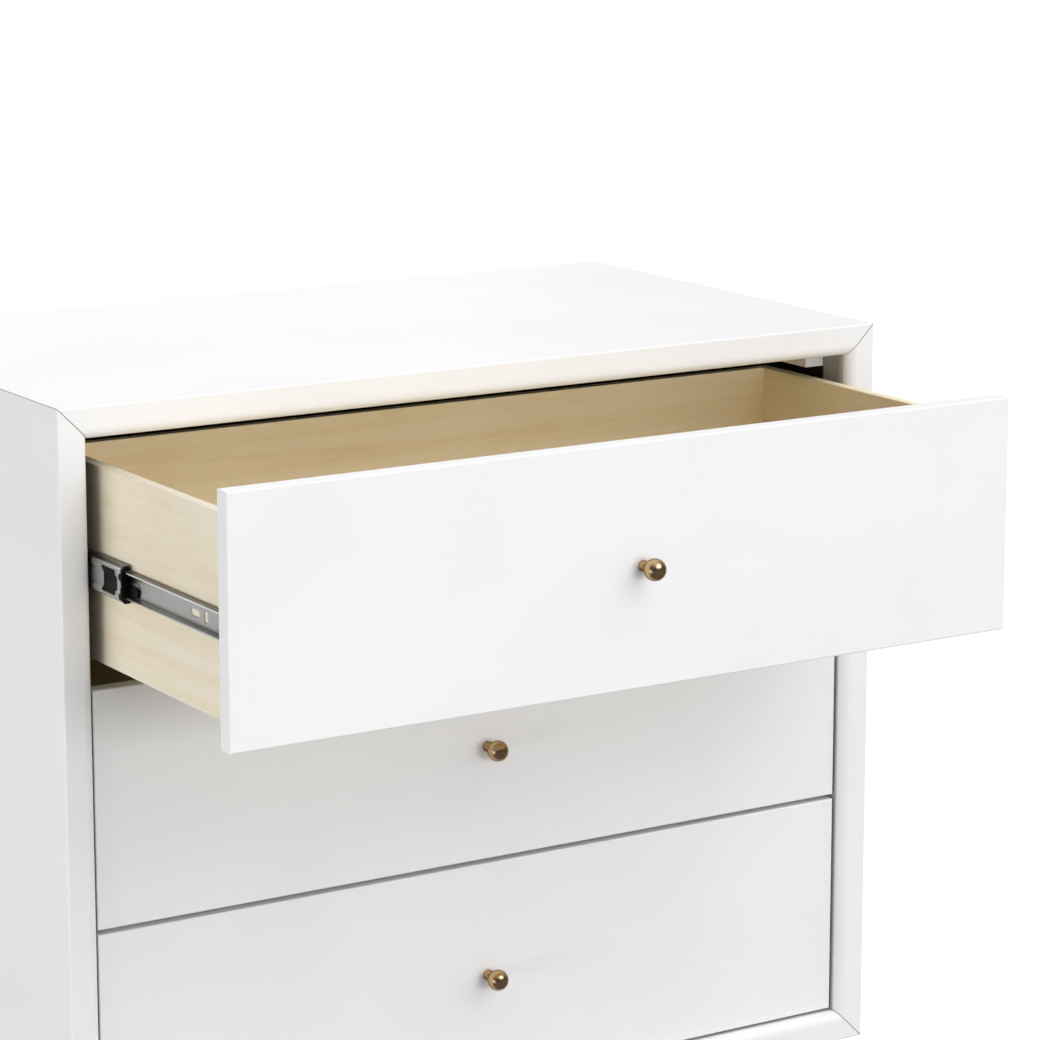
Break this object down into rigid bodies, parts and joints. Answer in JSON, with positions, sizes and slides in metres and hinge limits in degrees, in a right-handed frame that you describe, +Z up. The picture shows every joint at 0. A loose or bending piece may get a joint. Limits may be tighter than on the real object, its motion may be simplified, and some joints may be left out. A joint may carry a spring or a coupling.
{
  "type": "chest of drawers",
  "caption": "Low painted chest with a mitred box frame, inset flat drawer fronts with small ball knobs, wooden drawer boxes on telescopic ball-bearing rails, and short turned legs.",
  "frame": {"origin": "on the floor, at the centre of the ground that the chest covers with its top drawer pulled out as stored", "axes": "+X to the chest's right as seen from the front, +Y towards its back, +Z up"},
  "size_m": [0.883, 0.7846, 0.864],
  "materials": {
    "white_paint_case": "white sprayed lacquer over MDF and solid pine",
    "white_paint_front": "white sprayed lacquer over MDF",
    "leg_paint": "white sprayed lacquer over turned beech",
    "batten_paint": "white lacquer over pine batten",
    "back_board": "white-faced hardboard",
    "drawer_wood": "clear-lacquered pale poplar",
    "drawer_bottom_ply": "clear-lacquered birch plywood",
    "knob_brass": "satin champagne brass",
    "rail_steel": "zinc-plated pressed steel",
    "zinc_screws": "zinc-plated steel",
    "zinc_plate": "zinc-plated steel plate",
    "black_plastic": "moulded black acetal",
    "glide_plastic": "moulded plastic glide"
  },
  "bodies": {
    "case": {"back_panel": "back_board", "bottom_panel": "white_paint_case", "cabinet_rails_left": "rail_steel", "cabinet_rails_right": "rail_steel", "case_screws": "zinc_screws", "corner_battens": "batten_paint", "left_panel": "white_paint_case", "leg_back_left": "leg_paint", "leg_back_right": "leg_paint", "leg_front_left": "leg_paint", "leg_front_right": "leg_paint", "leg_glides": "glide_plastic", "leg_plates": "zinc_plate", "right_panel": "white_paint_case", "top_panel": "white_paint_case"},
    "drawer_1": {"drawer_1_back": "drawer_wood", "drawer_1_bottom": "drawer_bottom_ply", "drawer_1_fixings": "zinc_screws", "drawer_1_front": "white_paint_front", "drawer_1_inner_front": "drawer_wood", "drawer_1_knob": "knob_brass", "drawer_1_rail_left": "rail_steel", "drawer_1_rail_right": "rail_steel", "drawer_1_release_levers": "black_plastic", "drawer_1_side_left": "drawer_wood", "drawer_1_side_right": "drawer_wood"},
    "rails_1": {"drawer_1_ball_cages": "rail_steel", "drawer_1_middle_rail_left": "rail_steel", "drawer_1_middle_rail_right": "rail_steel", "drawer_1_rail_bumpers": "black_plastic"},
    "drawer_2": {"drawer_2_back": "drawer_wood", "drawer_2_bottom": "drawer_bottom_ply", "drawer_2_fixings": "zinc_screws", "drawer_2_front": "white_paint_front", "drawer_2_inner_front": "drawer_wood", "drawer_2_knob": "knob_brass", "drawer_2_rail_left": "rail_steel", "drawer_2_rail_right": "rail_steel", "drawer_2_release_levers": "black_plastic", "drawer_2_side_left": "drawer_wood", "drawer_2_side_right": "drawer_wood"},
    "rails_2": {"drawer_2_ball_cages": "rail_steel", "drawer_2_middle_rail_left": "rail_steel", "drawer_2_middle_rail_right": "rail_steel", "drawer_2_rail_bumpers": "black_plastic"},
    "drawer_3": {"drawer_3_back": "drawer_wood", "drawer_3_bottom": "drawer_bottom_ply", "drawer_3_fixings": "zinc_screws", "drawer_3_front": "white_paint_front", "drawer_3_inner_front": "drawer_wood", "drawer_3_knob": "knob_brass", "drawer_3_rail_left": "rail_steel", "drawer_3_rail_right": "rail_steel", "drawer_3_release_levers": "black_plastic", "drawer_3_side_left": "drawer_wood", "drawer_3_side_right": "drawer_wood"},
    "rails_3": {"drawer_3_ball_cages": "rail_steel", "drawer_3_middle_rail_left": "rail_steel", "drawer_3_middle_rail_right": "rail_steel", "drawer_3_rail_bumpers": "black_plastic"}
  },
  "joints": [
    {"name": "rails_1_slide", "type": "slide", "parent": "case", "child": "rails_1", "axis": [0, -1, 0], "range_m": [-0.082, 0.093]},
    {"name": "drawer_1_slide", "type": "slide", "parent": "rails_1", "child": "drawer_1", "axis": [0, -1, 0], "range_m": [-0.18, 0]},
    {"name": "rails_2_slide", "type": "slide", "parent": "case", "child": "rails_2", "axis": [0, -1, 0], "range_m": [0, 0.175]},
    {"name": "drawer_2_slide", "type": "slide", "parent": "rails_2", "child": "drawer_2", "axis": [0, -1, 0], "range_m": [0, 0.18]},
    {"name": "rails_3_slide", "type": "slide", "parent": "case", "child": "rails_3", "axis": [0, -1, 0], "range_m": [0, 0.175]},
    {"name": "drawer_3_slide", "type": "slide", "parent": "rails_3", "child": "drawer_3", "axis": [0, -1, 0], "range_m": [0, 0.18]}
  ]
}
